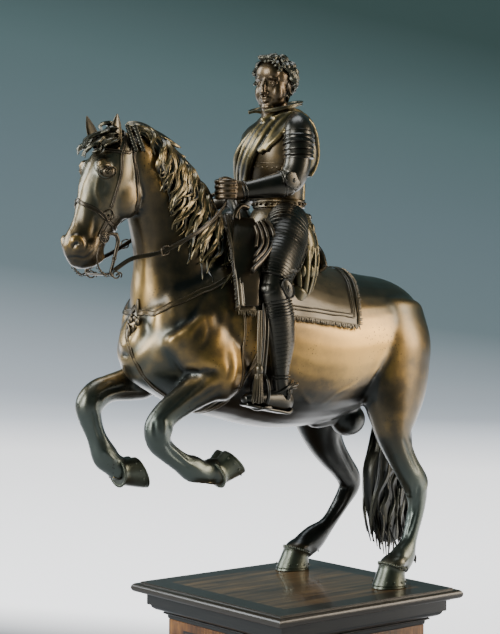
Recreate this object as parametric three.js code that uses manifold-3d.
// An equestrian statuette: a rider in armour on a horse that sits back on its hind legs with both
// forelegs raised, cast in bronze, on a square plinth of dark moulded wood over a veneered block.
// Millimetres, +Z up, the horse faces -X and its left flank faces -Y.
// The origin is the middle of the plinth's underside.
import * as THREE from "three";
import { mergeVertices } from "three/addons/utils/BufferGeometryUtils.js";
import Module from "manifold-3d";

const wasm = await Module();
wasm.setup();

// Driving dimensions of the plinth.
const TOP_SIDE = 274; // flat of the top board
const TOP_OVERHANG = 9; // the rounded edge stands out this far past the flat
const TOP_EDGE = 12.7; // thickness of the top board's edge
const CORNICE_DROP = 45.5; // from the top of the plinth to the veneered block
const CORNICE_FASCIA_SIDE = 263; // square of the flat band under the top board
const DIE_SIDE = 224; // square of the veneered block
const DIE_HEIGHT = 52; // veneered block
const FOOT_HEIGHT = 20; // moulded foot under the block
const FOOT_OVERHANG = 9; // the foot stands out this far past the block

// Driving dimensions of the bronze.
const FIGURE_HEIGHT = 653; // hooves to the top of the rider's hair
const CLEARANCE = 0.3; // left between castings that touch
const REIN_WIDTH = 5;
const REIN_THICKNESS = 2;

const PLINTH_HEIGHT = CORNICE_DROP + DIE_HEIGHT + FOOT_HEIGHT;
// Every place on the figure below is written for a figure 653 mm high, measured from the plinth's top.
const DRAWN_HEIGHT = 653;
const figureScale = FIGURE_HEIGHT / DRAWN_HEIGHT;

const material = (color, roughness, metalness) =>
  new THREE.MeshStandardMaterial({ color, roughness, metalness });
const brownBronze = material(0x5a452c, 0.38, 1);
const darkBronze = material(0x2b261f, 0.42, 1);
const ebonisedWood = material(0x1c1a17, 0.3, 0);
const veneer = material(0x8a5a2c, 0.45, 0);

// Rows of numbers joined by a smooth curve through every row, with `steps` spans between neighbours.
function smoothRows(rows, steps) {
  const last = rows.length - 1;
  const before = rows[0].map((v, i) => 2 * v - rows[1][i]);
  const after = rows[last].map((v, i) => 2 * v - rows[last - 1][i]);
  const padded = [before, ...rows, after];
  const smooth = [];
  for (let r = 0; r < last; r++) {
    const [a, b, c, d] = padded.slice(r, r + 4);
    for (let s = 0; s < steps; s++) {
      const t = s / steps;
      smooth.push(
        b.map(
          (_, i) =>
            0.5 *
            (2 * b[i] +
              (c[i] - a[i]) * t +
              (2 * a[i] - 5 * b[i] + 4 * c[i] - d[i]) * t * t +
              (3 * b[i] - a[i] - 3 * c[i] + d[i]) * t * t * t),
        ),
      );
    }
  }
  smooth.push(rows[last]);
  return smooth;
}

// A closed limb laid over stations [x, y, z, half width, half depth]. The width lies along `across`,
// the depth square to it and to the limb. `tip` is how far its ends bulge, as a share of the last
// section. `boxed` makes the section a rectangle.
function limb(
  rows,
  { sides = 12, steps = 1, across = [0, 1, 0], grow = 0, tip = 0.3, boxed = false } = {},
) {
  if (boxed) sides = 4;
  const stations = smoothRows(rows, steps);
  const count = stations.length;
  const centres = stations.map(([x, y, z]) => new THREE.Vector3(x, y, z));
  const geometry = new THREE.SphereGeometry(1, sides, count + 1);
  const position = geometry.getAttribute("position");
  const reference = new THREE.Vector3(...across);
  const frames = centres.map((centre, i) => {
    const along = centres[Math.min(i + 1, count - 1)]
      .clone()
      .sub(centres[Math.max(i - 1, 0)])
      .normalize();
    const width = reference.clone().addScaledVector(along, -reference.dot(along)).normalize();
    return { centre, along, width, depth: new THREE.Vector3().crossVectors(along, width) };
  });
  const corner = boxed ? Math.SQRT2 : 1;
  const point = new THREE.Vector3();
  for (let ring = 0, index = 0; ring <= count + 1; ring++) {
    const station = Math.min(Math.max(ring - 1, 0), count - 1);
    const { centre, along, width, depth } = frames[station];
    const [, , , halfWidth, halfDepth] = stations[station];
    for (let side = 0; side <= sides; side++, index++) {
      const angle = (2 * Math.PI * (side + (boxed ? 0.5 : 0))) / sides;
      point.copy(centre);
      if (ring === 0 || ring === count + 1) {
        const bulge = tip * Math.min(halfWidth, halfDepth) + grow;
        point.addScaledVector(along, ring === 0 ? -bulge : bulge);
      } else {
        point.addScaledVector(width, -Math.cos(angle) * corner * (halfWidth + grow));
        point.addScaledVector(depth, Math.sin(angle) * corner * (halfDepth + grow));
      }
      position.setXYZ(index, point.x, point.y, point.z);
    }
  }
  return solid(geometry);
}

// An egg-shaped swelling: centre, three half sizes and a turn about the lateral axis, in degrees.
function swelling(centre, radii, pitch = 0, { sides = 8, rings = 5, yaw = 0 } = {}) {
  const geometry = new THREE.SphereGeometry(1, sides, rings);
  geometry.scale(...radii);
  geometry.rotateY(THREE.MathUtils.degToRad(pitch));
  geometry.rotateZ(THREE.MathUtils.degToRad(yaw));
  geometry.translate(...centre);
  return solid(geometry);
}

// A closed geometry as a solid that can be joined and cut.
function solid(geometry) {
  const bare = geometry.clone();
  bare.deleteAttribute("normal");
  bare.deleteAttribute("uv");
  const merged = mergeVertices(bare, 1e-4);
  return new wasm.Manifold(
    new wasm.Mesh({
      numProp: 3,
      vertProperties: new Float32Array(merged.getAttribute("position").array),
      triVerts: new Uint32Array(merged.index.array),
    }),
  );
}

const join = (solids) => solids.reduce((whole, next) => whole.add(next));
const mirrored = (rows) => rows.map(([x, y, ...rest]) => [x, -y, ...rest]);

// A named mesh of a solid; the figure's solids are brought to size and set on the plinth.
function piece(name, shape, finish, onPlinth = false) {
  const { vertProperties, triVerts } = shape.getMesh();
  const geometry = new THREE.BufferGeometry();
  geometry.setAttribute("position", new THREE.BufferAttribute(new Float32Array(vertProperties), 3));
  geometry.setIndex(new THREE.BufferAttribute(new Uint32Array(triVerts), 1));
  geometry.computeVertexNormals();
  const mesh = new THREE.Mesh(geometry, finish);
  mesh.name = name;
  if (onPlinth) {
    mesh.scale.setScalar(figureScale);
    mesh.position.z = PLINTH_HEIGHT + CLEARANCE;
  }
  return mesh;
}

const lerp = THREE.MathUtils.lerp;
const wave = (t, turns, phase) => Math.sin(2 * Math.PI * (turns * t + phase));

// The side of a limb's skin at (x, z), measured from its middle plane, or 0 outside it.
function skinAt(rows, x, z) {
  let side = 0;
  for (let i = 0; i + 1 < rows.length; i++) {
    const [a, b] = [rows[i], rows[i + 1]];
    const [dx, dz] = [b[0] - a[0], b[2] - a[2]];
    const length = Math.hypot(dx, dz);
    const along = ((x - a[0]) * dx + (z - a[2]) * dz) / length ** 2;
    if (along < 0 || along > 1) continue;
    const off = ((x - a[0]) * dz - (z - a[2]) * dx) / length;
    const share = off / lerp(a[4], b[4], along);
    if (Math.abs(share) < 1) side = Math.max(side, lerp(a[3], b[3], along) * Math.sqrt(1 - share ** 2));
  }
  return side;
}

// A hoof: a cone of horn from the ring under the hair to the larger flat sole.
function hoof(coronet, sole, toe, { halfLength = 23, halfWidth = 19, ring = 16, slope = 18 } = {}) {
  const geometry = new THREE.CylinderGeometry(1, 1, 1, 10, 1);
  const position = geometry.getAttribute("position");
  const forward = new THREE.Vector3(...toe).normalize();
  const up = new THREE.Vector3(...coronet).sub(new THREE.Vector3(...sole));
  up.addScaledVector(forward, -up.dot(forward)).setY(0).normalize();
  const side = new THREE.Vector3().crossVectors(up, forward);
  const tilted = forward.clone().applyAxisAngle(side, -THREE.MathUtils.degToRad(slope));
  for (let i = 0; i < position.count; i++) {
    const top = position.getY(i) > 0;
    const p = new THREE.Vector3(...(top ? coronet : sole));
    p.addScaledVector(side, position.getX(i) * (top ? ring : halfWidth));
    p.addScaledVector(top ? tilted : forward, position.getZ(i) * (top ? ring * 1.05 : halfLength));
    position.setXYZ(i, p.x, p.y, p.z);
  }
  return solid(geometry);
}

// A flat strap along points [x, y, z], `breadth` wide along `across`.
const strap = (points, breadth, thickness, across = [0, 0, 1], steps = 1) =>
  limb(
    points.map((point) => [...point, breadth / 2, thickness / 2]),
    { across, steps, boxed: true, tip: 0 },
  );

// A slab square to the middle plane, `thickness` thick, through (x, z) and leaning `lean` degrees
// back from upright.
function slab(x, z, lean, thickness) {
  const geometry = new THREE.BoxGeometry(thickness, 260, 260);
  geometry.rotateY(THREE.MathUtils.degToRad(lean));
  geometry.translate(x, 0, z);
  return solid(geometry);
}

// The region seen inside an outline of (x, z) points, right through the figure.
function outlined(points) {
  const shape = new THREE.Shape(points.map(([x, z]) => new THREE.Vector2(x, z)));
  const geometry = new THREE.ExtrudeGeometry(shape, { depth: 260, bevelEnabled: false });
  geometry.translate(0, 0, -130);
  geometry.rotateX(Math.PI / 2);
  return solid(geometry);
}

// The horse, head to tail: stations as [x, y, z, half width, half depth].
const TRUNK = [
  [-243, 0, 318, 22, 26],
  [-236, 0, 315, 38, 44],
  [-222, 0, 313, 52, 62],
  [-188, 0, 315, 68, 84],
  [-140, 0, 317, 81, 99],
  [-90, 0, 314, 85, 106],
  [-40, 0, 301, 88, 104],
  [8, 0, 295, 89, 98],
  [52, 0, 298, 88, 92],
  [96, 0, 305, 85, 82],
  [132, 0, 312, 78, 68],
  [160, 0, 312, 60, 50],
  [176, 0, 308, 32, 26],
];
const NECK = [
  [-163, 0, 362, 55, 80],
  [-174, 0, 398, 44, 69],
  [-188, 0, 431, 36.5, 54.5],
  [-206, 0, 468, 31, 45.5],
  [-221, 0, 490, 28.5, 40],
  [-238, 0, 513, 26, 33],
  [-252, 0, 527, 22, 24],
];
const HEAD = [
  [-256, 0, 541, 14, 13],
  [-264, 0, 523, 22, 24],
  [-273, 0, 500, 25, 33],
  [-282, 0, 474, 22, 35],
  [-293, 0, 453, 18, 29],
  [-303, 0, 434, 15.5, 24.5],
  [-312, 0, 416, 17, 25],
  [-316, 0, 404, 14, 20],
  [-318, 0, 397, 9, 12],
];
const HIND_LEFT = [
  [112, -40, 338, 36, 56],
  [110, -50, 300, 40, 61],
  [108, -56, 268, 36, 57],
  [105, -62, 238, 31, 49],
  [100, -68, 210, 26, 36],
  [98, -72, 187, 20, 25],
  [104, -75, 164, 16, 19],
  [114, -78, 144, 13.5, 17.5],
  [125, -79, 128, 13, 18.5],
  [130, -79, 113, 12, 16],
  [129, -80, 90, 10, 11],
  [117, -81, 56, 9, 10],
  [106, -82, 37, 10.5, 13],
  [96, -82.5, 27, 11, 13],
];
const HIND_RIGHT = [
  [100, 40, 338, 36, 58],
  [96, 50, 300, 40, 64],
  [90, 58, 262, 36, 58],
  [88, 62, 228, 32, 46],
  [94, 65, 195, 26, 34],
  [106, 68, 170, 20, 27],
  [122, 72, 150, 17, 22],
  [142, 75, 130, 14.5, 18],
  [158, 78, 113, 13, 17],
  [160, 80, 100, 12, 15],
  [147, 80, 82, 10, 11.5],
  [125, 82, 55, 9, 10.5],
  [103, 83, 38, 10.5, 14],
  [88, 84, 29, 11, 14],
  [77, 84.5, 23, 13, 13],
];
const FORE_LEFT = [
  [-190, -46, 330, 24, 50],
  [-172, -56, 296, 26, 44],
  [-168, -62, 272, 25, 34],
  [-182, -60, 262, 22, 25],
  [-194, -57, 254, 18.5, 20.5],
  [-213, -53, 242, 15, 17.5],
  [-233, -50, 228, 14, 16],
  [-244, -49, 213, 14.5, 16.5],
  [-242, -48, 198, 13.5, 15],
  [-234, -47, 188, 11, 12.5],
  [-211, -46, 172, 10.5, 12],
  [-194, -46, 163, 13, 15.5],
  [-179, -46, 158, 12.5, 13.5],
  [-166, -46, 158, 13, 15],
];
const FORE_RIGHT = [
  [-190, 44, 322, 22, 48],
  [-185, 52, 288, 25, 40],
  [-192, 56, 264, 22, 29],
  [-208, 56, 256, 18, 21],
  [-238, 53, 252, 15, 16.5],
  [-258, 51, 246, 15, 17.5],
  [-271, 50, 234, 15, 17],
  [-270, 50, 219, 13.5, 14],
  [-262, 49, 197, 10.5, 12],
  [-251, 48, 174, 13, 16],
  [-240, 48, 163, 12.5, 14],
  [-231, 48, 157, 13, 15],
];
// Saddle and cloth over the back, front to rear.
const SADDLE = [
  [-152, 0, 317, 82, 118],
  [-138, 0, 317, 86, 136],
  [-118, 0, 316, 88, 138],
  [-96, 0, 315, 89, 122],
  [-60, 0, 309, 90.5, 117],
  [-20, 0, 300, 92, 116],
  [14, 0, 296, 92.5, 112],
  [30, 0, 297, 92, 100],
  [60, 0, 300, 90.5, 93],
  [90, 0, 304, 89, 86],
];
const CLOTH_OUTLINE = [
  [-134, 462],
  [-140, 420],
  [-147, 349],
  [-75, 337],
  [22, 323],
  [44, 321],
  [58, 352],
  [72, 400],
  [60, 470],
];

// Locks of hair. Those of the mane spring from the crest and lie down over the neck; `around` is the
// angle from the crest about the neck, `along` runs from its root (0) to the poll (1).
function onNeck(along, around, lift, side) {
  const place = THREE.MathUtils.clamp(along, 0, 0.999) * (NECK.length - 1);
  const [a, b] = [NECK[Math.floor(place)], NECK[Math.floor(place) + 1]];
  const t = place % 1;
  const [x, , z, halfWidth, halfDepth] = a.map((v, i) => lerp(v, b[i], t));
  const length = Math.hypot(b[0] - a[0], b[2] - a[2]);
  const crestward = [(b[2] - a[2]) / length, -(b[0] - a[0]) / length];
  const angle = THREE.MathUtils.degToRad(around);
  const out = Math.cos(angle) * (halfDepth + lift);
  const y = side * Math.sin(angle) * (halfWidth + lift);
  const px = x + crestward[0] * out;
  const pz = z + crestward[1] * out;
  const shoulder = skinAt(TRUNK, px, pz) + lift;
  return [px, side * Math.max(side * y, shoulder > lift ? shoulder : 0), pz];
}
const LOCK_STATIONS = 5;
// A ridged, tapering lock whose ridge points `outward`.
function lock(pathAt, breadth, outward) {
  const rows = [];
  for (let i = 0; i < LOCK_STATIONS; i++) {
    const t = i / (LOCK_STATIONS - 1);
    const half = breadth * (0.28 + 0.72 * Math.sin(Math.PI * (0.22 + 0.72 * t)));
    rows.push([...pathAt(t), half * 0.55, half]);
  }
  return limb(rows, { sides: 3, across: outward.map((v) => -v) });
}
function maneLock(root, tip, reach, side, index) {
  return lock(
    (t) =>
      onNeck(
        lerp(root, tip, t) + 0.018 * wave(t, 1.2, index * 0.37),
        lerp(4, reach, t ** 0.8) + 5 * wave(t, 1.5, index * 0.61),
        lerp(4, 2.5, t) + (index % 2),
        side,
      ),
    14,
    [0.35, side, 0.4],
  );
}
const maneLeft = Array.from({ length: 7 }, (_, i) => {
  const t = i / 6;
  return maneLock(lerp(0.96, 0.24, t), lerp(0.72, -0.02, t), 88 + 18 * Math.sin(Math.PI * t), -1, i);
});
const maneRight = Array.from({ length: 4 }, (_, i) => {
  const t = i / 3;
  return maneLock(lerp(0.94, 0.24, t), lerp(0.74, 0.1, t), 70, 1, i + 3);
});
// Short tufts that fly back off the crest: from, to.
const TUFTS = [
  [[-232, -4, 541], [-182, -8, 531]],
  [[-218, 6, 531], [-190, 12, 520]],
  [[-204, -6, 522], [-162, -10, 508]],
  [[-190, -8, 505], [-150, -12, 488]],
  [[-180, -8, 486], [-152, -16, 470]],
].map(([from, to], i) =>
  lock(
    (t) => [0, 1, 2].map((k) => lerp(from[k], to[k], t) + (k === 2 ? 4 * wave(t, 0.9, i * 0.4) : 0)),
    10,
    [0.4, 0, 0.9],
  ),
);
// The forelock falls forward between the ears: tips on the forehead.
const FORELOCK = [
  [-318, -8, 519],
  [-315, 2, 531],
  [-311, -18, 524],
  [-302, 14, 530],
].map((tip, i) =>
  lock(
    (t) => [
      lerp(-272, tip[0], t) + 3 * wave(t, 1, i * 0.3),
      lerp(0, tip[1], t) + 2 * wave(t, 1, 0.5 + i * 0.3),
      lerp(549, tip[2], t) + 9 * Math.sin(Math.PI * t),
    ],
    8,
    [-0.5, 0, 0.85],
  ),
);
// The tail arches off the dock and hangs behind the hind legs.
const TAIL = [
  [148, 2, 342, 10, 11],
  [170, 2, 340, 12, 12],
  [188, 2, 324, 13, 13],
  [195, 3, 292, 14, 14],
  [192, 4, 252, 16, 15],
  [182, 6, 208, 17, 16],
  [171, 8, 172, 18, 17],
  [163, 9, 136, 20, 23],
  [162, 9, 104, 21, 25],
  [164, 8, 72, 19, 24],
  [164, 6, 48, 13, 16],
  [160, 4, 32, 6, 7],
];
const TAIL_LOCKS = 5;
const tailLocks = Array.from({ length: TAIL_LOCKS }, (_, i) => {
  const turn = (2 * Math.PI * i) / TAIL_LOCKS;
  return lock(
    (t) => {
      const place = lerp(5.2 + 1.2 * (i % 3), 10.4, t);
      const [a, b] = [TAIL[Math.floor(place)], TAIL[Math.floor(place) + 1]];
      const [x, y, z, halfWidth, halfDepth] = a.map((v, k) => lerp(v, b[k], place % 1));
      const angle = turn + 0.5 * wave(t, 1.1, i * 0.29);
      const spread = 1 + 0.9 * Math.max(0, t - 0.7) * (Math.cos(turn) > 0 ? 5.5 : 2);
      return [
        x + Math.cos(angle) * halfDepth * spread,
        y + Math.sin(angle) * halfWidth,
        z - 22 * t,
      ];
    },
    13,
    [Math.cos(turn), Math.sin(turn), 0],
  );
});

// Raised work on the horse's head and body.
const both = (build) => [build(-1), build(1)];
const headMasses = [
  ...both((s) => swelling([-264, 13 * s, 476], [23, 11, 28], -14, { sides: 7, rings: 4 })),
  ...both((s) => swelling([-296, 18 * s, 508], [12, 8, 8], 50, { sides: 6, rings: 4 })),
  ...both((s) => swelling([-327, 9 * s, 421], [12, 8.5, 10], 0, { sides: 7, rings: 4 })),
  ...both((s) =>
    limb(
      [
        [-276, 17 * s, 534, 6, 7],
        [-280, 17.5 * s, 546, 6.5, 7.5],
        [-281, 17 * s, 557, 4.5, 6],
        [-277, 15 * s, 567, 1.2, 1.5],
      ],
      { sides: 6, tip: 0.2 },
    ),
  ),
];
const headHollows = [
  ...both((s) => swelling([-331, 17 * s, 421], [5, 5, 7], 20, { sides: 6, rings: 4 })),
  ...both((s) => swelling([-289, 23.5 * s, 550], [6, 5.5, 10], 10, { sides: 6, rings: 4 })),
  outlined([
    [-342, 409],
    [-311, 414],
    [-342, 406],
  ]),
];
const bodyMasses = [
  ...both((s) => swelling([-206, 25 * s, 316], [32, 25, 46], -12)),
  swelling([88, -2, 198], [20, 17, 16]),
  swelling([54, 0, 208], [34, 13, 12], -14, { sides: 6, rings: 4 }),
];
const hooves = [
  hoof([86, -83, 25], [80, -84, 0], [-1, 0, 0]),
  hoof([74, 85, 25], [68, 86, 0], [-1, 0, 0], { halfLength: 24 }),
  hoof([-159, -46, 158], [-138, -46, 166], [0.84, 0, -0.54], { halfLength: 23 }),
  hoof([-224, 48, 156], [-203, 48, 153], [0.45, 0, -0.89], { halfLength: 22 }),
];
// Straps of the bridle and harness, raised a little from the skin.
const bandOn = (rows, cut, options) => limb(rows, { ...options, grow: 2 }).intersect(cut);
const straps = [
  bandOn(HEAD, slab(-304, 457, -62, 5), { sides: 10 }),
  bandOn(HEAD, slab(-292, 529, -58, 4), { sides: 10 }),
  ...both((s) =>
    strap([[-273, 23.5 * s, 522], [-275, 25 * s, 502], [-281, 22.5 * s, 478], [-287, 19.5 * s, 460]], 4, 4, [1, 0, 0]),
  ),
  bandOn(TRUNK, slab(-205, 352, 62, 11), { sides: 16 }),
  bandOn(TRUNK, slab(-146, 300, 5, 7), { sides: 16 }),
  limb(
    [
      [-236, 0, 346, 9, 5],
      [-240, 0, 334, 12, 6],
      [-240, 0, 318, 8, 5],
      [-238, 0, 304, 4, 4],
    ],
    { sides: 8 },
  ),
];

const trunk = limb(TRUNK, { sides: 16 });
const saddle = limb(SADDLE, { sides: 16 }).intersect(outlined(CLOTH_OUTLINE));
// Pommel, knee rolls and cantle, `grow` mm larger all round.
const saddleBow = (grow = 0) => [
  swelling([-116, 0, 452], [12 + grow, 26 + grow, 20 + grow]),
  swelling([8, 0, 404], [12 + grow, 30 + grow, 15 + grow], 0, { sides: 6, rings: 4 }),
  ...both((s) =>
    limb(
      [
        [-110, 44 * s, 446, 8, 7],
        [-104, 54 * s, 424, 9, 8],
        [-112, 64 * s, 402, 8, 7],
        [-126, 66 * s, 396, 6, 6],
      ],
      { sides: 5, grow },
    ),
  ),
];
const horse = join([
  trunk,
  limb(NECK, { sides: 12 }),
  limb(HEAD, { sides: 10 }),
  ...[HIND_LEFT, HIND_RIGHT, FORE_LEFT, FORE_RIGHT].map((rows) => limb(rows, { sides: 8 })),
  ...headMasses,
  ...bodyMasses,
  ...hooves,
  saddle,
  ...saddleBow(),
  ...straps,
  limb(TAIL, { sides: 6 }),
  ...tailLocks,
  ...maneLeft,
  ...maneRight,
  ...TUFTS,
  ...FORELOCK,
]).subtract(join(headHollows));

const RIDER_TORSO = [
  [-32, 0, 425, 36, 34],
  [-30, 0, 445, 38, 34],
  [-26, 0, 470, 33, 25],
  [-32, 0, 495, 40, 31],
  [-38, 0, 520, 46, 34],
  [-38, 0, 545, 47, 32],
  [-34, 0, 562, 36, 24],
  [-32, 0, 574, 17, 16],
  [-31, 0, 584, 15, 15],
];
const BELT = [
  [-28, 0, 476, 36, 28],
  [-27, 0, 468, 37, 29],
  [-27, 0, 464, 36, 28],
];
// Stations drawn out in overlapping plates: each steps in by `step` at its end.
function plated(rows, plates, step) {
  const smooth = smoothRows(rows, plates);
  return smooth.flatMap(([x, y, z, w, d], i) => {
    if (i === 0 || i === smooth.length - 1) return [[x, y, z, w, d]];
    const next = smooth[i + 1];
    const shift = [x, y, z].map((v, k) => lerp(v, next[k], 0.08));
    return [
      [x, y, z, w + step, d + step],
      [...shift, w - step / 2, d - step / 2],
    ];
  });
}
const PAULDRON = [
  [-28, -44, 563, 15, 17],
  [-36, -56, 552, 18, 20],
  [-40, -61, 534, 18, 19],
];
const ARM_LEFT = [
  [-34, -50, 552, 17, 17],
  [-40, -61, 530, 17.5, 18],
  [-46, -62, 508, 17, 18],
  [-56, -60, 494, 16, 18],
  [-72, -55, 491, 13.5, 15],
  [-89, -50, 489, 13, 14],
  [-107, -42, 487, 10, 10],
  [-120, -37, 485, 11, 12],
  [-138, -32, 483, 9, 10],
];
const ARM_RIGHT = [
  [-28, 44, 563, 15, 17],
  [-20, 60, 538, 17, 18],
  [-14, 68, 504, 15, 17],
  [-22, 72, 486, 15, 16],
  [-48, 70, 458, 10, 11],
  [-60, 68, 446, 12, 9],
  [-70, 66, 438, 9, 7],
];
const TASSET = [
  [-34, -32, 446, 26, 34],
  [-60, -60, 418, 27, 35],
  [-86, -78, 382, 23, 26],
];
const LEG_LEFT = [
  [-80, -75, 392, 19, 22],
  [-99, -84, 368, 16, 20],
  [-98, -85, 350, 15, 17],
  [-96, -86, 336, 15, 18],
  [-93, -87, 306, 13.5, 16],
  [-95, -88, 280, 9.5, 10],
  [-93, -88, 262, 9.5, 10],
  [-88, -88, 246, 10, 13],
];
const FOOT_LEFT = [
  [-82, -88, 238, 8, 9],
  [-94, -88, 239, 11, 12],
  [-126, -86, 240, 12, 11],
  [-148, -85, 241, 8, 7],
];
// One leg with its long plated tasset, knee piece, greave, shoe, stirrup and stirrup strap.
function leg(side) {
  const at = (rows) => (side < 0 ? rows : mirrored(rows));
  const stirrup = new THREE.TorusGeometry(21, 2.6, 4, 10);
  stirrup.rotateY(Math.PI / 2);
  stirrup.translate(-128, 88 * side, 250);
  return [
    limb(at(plated(TASSET, 2, 1)), { sides: 7 }),
    limb(at(LEG_LEFT), { sides: 7 }),
    limb(at(FOOT_LEFT), { sides: 6 }),
    swelling([-46, 64 * side, 388], [25, 20, 34], -12, { sides: 7, rings: 4 }),
    swelling([-97, 84 * side, 370], [18, 17, 17], 0, { sides: 6, rings: 4 }),
    solid(stirrup),
    strap(
      [
        [-127, 82 * side, 350],
        [-127, 88 * side, 318],
        [-128, 89 * side, 272],
      ],
      5,
      3.5,
      [1, 0, 0],
    ),
  ];
}
const tassel = [
  limb(
    [
      [-132, -88, 340, 1.8, 1.8],
      [-137, -95, 300, 1.8, 1.8],
      [-138, -99, 280, 1.8, 1.8],
    ],
    { sides: 6 },
  ),
  limb(
    [
      [-138, -99, 282, 3, 3],
      [-138, -99, 277, 5, 5],
      [-139, -99, 270, 4.5, 4.5],
      [-141, -99, 240, 8, 7],
    ],
    { sides: 8, tip: 0.1 },
  ),
];
// The mantle wraps the back and the right arm, crosses the breast from the left shoulder and
// hangs behind the left arm.
const MANTLE = [
  [-22, -3, 570, 34, 18],
  [-18, 6, 558, 47, 29],
  [-15, 16, 536, 53, 34],
  [-16, 20, 508, 52, 33],
  [-20, 23, 478, 42, 26],
];
// Places on the breast: `turn` degrees from straight ahead towards the right arm.
function onBreast(turn, z, lift) {
  const above = RIDER_TORSO.findIndex((row) => row[2] > z);
  const [a, b] = [RIDER_TORSO[above - 1], RIDER_TORSO[above]];
  const [x, , , halfWidth, halfDepth] = a.map((v, i) => lerp(v, b[i], (z - a[2]) / (b[2] - a[2])));
  const angle = THREE.MathUtils.degToRad(turn);
  return [x - Math.cos(angle) * (halfDepth + lift), Math.sin(angle) * (halfWidth + lift), z];
}
const SASH_FOLDS = 3;
const [sashTop, sashFoot] = [RIDER_TORSO.at(-2)[2] - 4, RIDER_TORSO[2][2] + 4];
const sash = Array.from({ length: SASH_FOLDS }, (_, i) =>
  limb(
    [0, 0.25, 0.5, 0.75, 1].map((t) => [
      ...onBreast(lerp(-64 + 24 * i, 34 + 18 * i, t), lerp(sashTop, sashFoot, t ** 1.15), 1.5),
      10,
      4 - (i % 2),
    ]),
    { sides: 6, across: [0.25, 0.5, 0.8] },
  ),
);
const capeFall = limb(
  [
    [-18, -40, 570, 9, 6],
    [-12, -48, 556, 12, 6],
    [-10, -50, 532, 12, 6],
    [-18, -45, 500, 6, 5],
  ],
  { sides: 6, across: [0.6, 0.8, 0] },
);
// A flat standing collar, open in front, that rises to the back.
function collar() {
  const ring = new THREE.LatheGeometry(
    [
      new THREE.Vector2(15, -4),
      new THREE.Vector2(43, 1),
      new THREE.Vector2(43, 3.5),
      new THREE.Vector2(15, -0.5),
      new THREE.Vector2(15, -4),
    ],
    12,
  );
  ring.rotateX(Math.PI / 2);
  const opening = new THREE.CylinderGeometry(22, 22, 30, 3);
  opening.rotateX(Math.PI / 2);
  opening.rotateZ(Math.PI / 2);
  opening.scale(1.6, 0.62, 1);
  opening.translate(-48, 0, 0);
  return solid(ring)
    .subtract(solid(opening))
    .rotate([0, -11, 0])
    .translate([-31, 0, 583]);
}
const RIDER_HEAD = [
  [-30, 0, 578, 12, 12],
  [-33, 0, 590, 14, 16],
  [-37, -1, 601, 18, 21],
  [-36, -1, 618, 21, 25],
  [-34, 0, 634, 20.5, 24],
  [-32, 0, 644, 14, 16],
];
const HEAD_TURN = -20; // degrees about the neck, towards the left shoulder
const hair = Array.from({ length: 5 }, (_, i) => {
  const turn = ((i - 2) / 2) * 108;
  const angle = THREE.MathUtils.degToRad(turn);
  return swelling(
    [-33 + 19 * Math.cos(angle), 19 * Math.sin(angle), 628 - 8 * (i % 2) + 6 * (1 - Math.cos(angle))],
    [8, 12, 13],
    0,
    { sides: 6, rings: 3, yaw: turn },
  );
});
const riderHead = join([
  limb(RIDER_HEAD, { sides: 8 }),
  ...hair,
  swelling([-44, 0, 646], [9, 8, 8.1], 0, { sides: 6, rings: 4 }),
  limb(
    [
      [-57, 0, 622, 2.5, 3],
      [-63, 0, 611, 4.5, 5],
      [-59, 0, 607, 4, 3],
    ],
    { sides: 4 },
  ),
  swelling([-54, 0, 588], [6, 8, 6], 0, { sides: 6, rings: 4 }),
])
  .translate([32, 0, 0])
  .rotate([0, 0, -HEAD_TURN])
  .translate([-32, 0, 0]);

const [clothX, clothZ] = [0, 1].map(
  (k) => (Math.min(...CLOTH_OUTLINE.map((p) => p[k])) + Math.max(...CLOTH_OUTLINE.map((p) => p[k]))) / 2,
);
const cutBack = join([
  limb(TRUNK, { sides: 16, grow: CLEARANCE }),
  limb(SADDLE, { sides: 16, grow: CLEARANCE }).intersect(
    outlined(
      CLOTH_OUTLINE.map(([x, z]) => [
        x + CLEARANCE * Math.sign(x - clothX),
        z + 1.4 * CLEARANCE * Math.sign(z - clothZ),
      ]),
    ),
  ),
  ...saddleBow(CLEARANCE),
]);
const rider = join([
  limb(RIDER_TORSO, { sides: 10 }),
  limb(BELT, { sides: 10, tip: 0 }),
  limb(plated(PAULDRON, 2, 1), { sides: 8 }),
  limb(ARM_LEFT, { sides: 8 }),
  limb(ARM_RIGHT, { sides: 8 }),
  limb(MANTLE, { sides: 10 }),
  ...sash,
  capeFall,
  collar(),
  riderHead,
  ...leg(-1),
  ...leg(1),
  ...tassel,
]).subtract(cutBack);

// Reins from the shank ends to the left hand.
const REIN_LEFT = [
  [-289, -28.4, 390],
  [-266, -34, 403],
  [-236, -48, 411],
  [-200, -57, 430],
  [-172, -54, 444],
  [-150, -43, 460],
  [-140, -36, 480],
];
const REIN_RIGHT = [
  [-289, 28.4, 390],
  [-262, 42, 402],
  [-232, 54, 412],
  [-196, 58, 430],
  [-164, 47, 452],
  [-147, 28, 466],
  [-139, 6, 473],
  [-137, -18, 479],
];
const hand = limb(ARM_LEFT, { sides: 8, grow: 2 * CLEARANCE });
const rein = (points) => strap(points, REIN_WIDTH, REIN_THICKNESS, [0.2, 0, 1]).subtract(hand);

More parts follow.
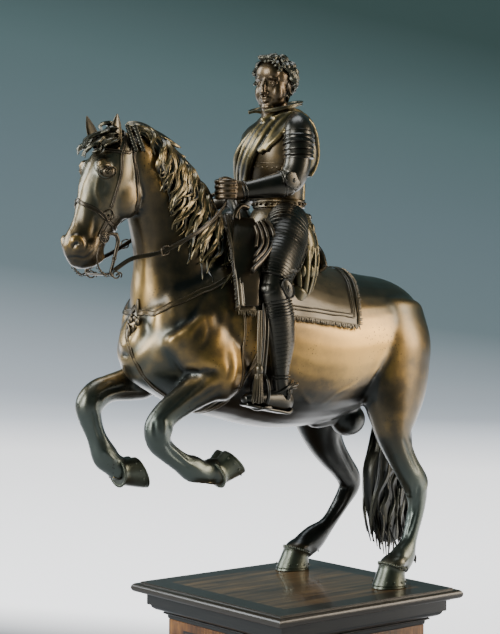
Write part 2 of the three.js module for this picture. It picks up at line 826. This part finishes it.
// The curb bit: a boss at each corner of the mouth, an S-shaped shank below it and a bar between.
function shank(side) {
  const y = 25 * side;
  const rod = (points, half) =>
    limb(
      points.map(([x, z]) => [x, y, z, half, half]),
      { sides: 4 },
    );
  return join([
    rod([[-300, 427], [-288, 429], [-282, 421], [-286, 404], [-292, 388]], 1.8),
    rod([[-300, 427], [-308, 414], [-309, 400], [-301, 387], [-284, 383], [-277, 387]], 1.2),
  ]);
}
const bitBar = limb(
  [
    [-292, -25, 387, 1.6, 1.6],
    [-292, 25, 387, 1.6, 1.6],
  ],
  { sides: 4, across: [1, 0, 0] },
);
const boss = (side) => {
  const disc = new THREE.CylinderGeometry(6, 6, 4, 8);
  disc.translate(-300, 25 * side, 427);
  return solid(disc);
};
const curbBit = join([shank(-1), shank(1), boss(-1), boss(1), bitBar]);

// The plinth: every moulding is a profile turned about the middle with four sides, as if mitred.
function moulding(profile, bottom) {
  const points = profile.map(([half, z]) => new THREE.Vector2(half * Math.SQRT2, z));
  const geometry = new THREE.LatheGeometry(
    [new THREE.Vector2(0, points[0].y), ...points, new THREE.Vector2(0, points.at(-1).y)],
    4,
  );
  geometry.rotateX(Math.PI / 2);
  geometry.rotateZ(Math.PI / 4);
  geometry.translate(0, 0, bottom);
  return solid(geometry);
}
// Points of a round-over or hollow between two corners; `round` over 0 bulges, under 0 hollows.
const sweep = (from, to, round, spans = 5) =>
  Array.from({ length: spans + 1 }, (_, i) => {
    const angle = (Math.PI / 2) * (i / spans);
    const [a, b] = round > 0 ? [Math.sin(angle), 1 - Math.cos(angle)] : [1 - Math.cos(angle), Math.sin(angle)];
    return [lerp(from[0], to[0], a), lerp(from[1], to[1], b)];
  });

const flat = TOP_SIDE / 2;
const edge = flat + TOP_OVERHANG;
const fascia = CORNICE_FASCIA_SIDE / 2;
const die = DIE_SIDE / 2;
const foot = die + FOOT_OVERHANG;
const topBoard = moulding(
  [
    [flat, 0],
    [flat, -1.2],
    ...sweep([flat + 3, -1.8], [edge, -7.2], 1),
    ...sweep([edge, -7.2], [edge - 5, -TOP_EDGE], -1),
  ].toReversed().map(([h, z]) => [h, z]),
  PLINTH_HEIGHT,
);
const cornice = moulding(
  [
    [fascia + 3, -TOP_EDGE - CLEARANCE],
    [fascia + 3, -15],
    [fascia, -15],
    [fascia, -28],
    [fascia - 3.5, -29],
    ...sweep([fascia - 3.5, -29], [die + 4, -36], -1),
    [die + 4, -37],
    [die + 5.2, -38.5],
    [die + 3, -40],
    ...sweep([die + 1, -41], [die - 0.2, -CORNICE_DROP], -1, 3),
  ].toReversed(),
  PLINTH_HEIGHT,
);
const block = moulding(
  [
    [die, FOOT_HEIGHT + CLEARANCE],
    [die, FOOT_HEIGHT + DIE_HEIGHT - CLEARANCE],
  ],
  0,
);
const footMoulding = moulding(
  [
    [foot, 0],
    [foot, FOOT_HEIGHT * 0.55],
    ...sweep([foot - 1.5, FOOT_HEIGHT * 0.6], [die + 1, FOOT_HEIGHT], -1),
  ],
  0,
);

const statuette = new THREE.Group();
statuette.add(piece("plinth_foot", footMoulding, ebonisedWood));
statuette.add(piece("plinth_block", block, veneer));
statuette.add(piece("plinth_cornice", cornice, ebonisedWood));
statuette.add(piece("plinth_top", topBoard, ebonisedWood));
statuette.add(piece("horse", horse, brownBronze, true));
statuette.add(piece("rider", rider, darkBronze, true));
statuette.add(piece("curb_bit", curbBit, darkBronze, true));
statuette.add(piece("rein_left", rein(REIN_LEFT), darkBronze, true));
statuette.add(piece("rein_right", rein(REIN_RIGHT), darkBronze, true));
export default statuette;
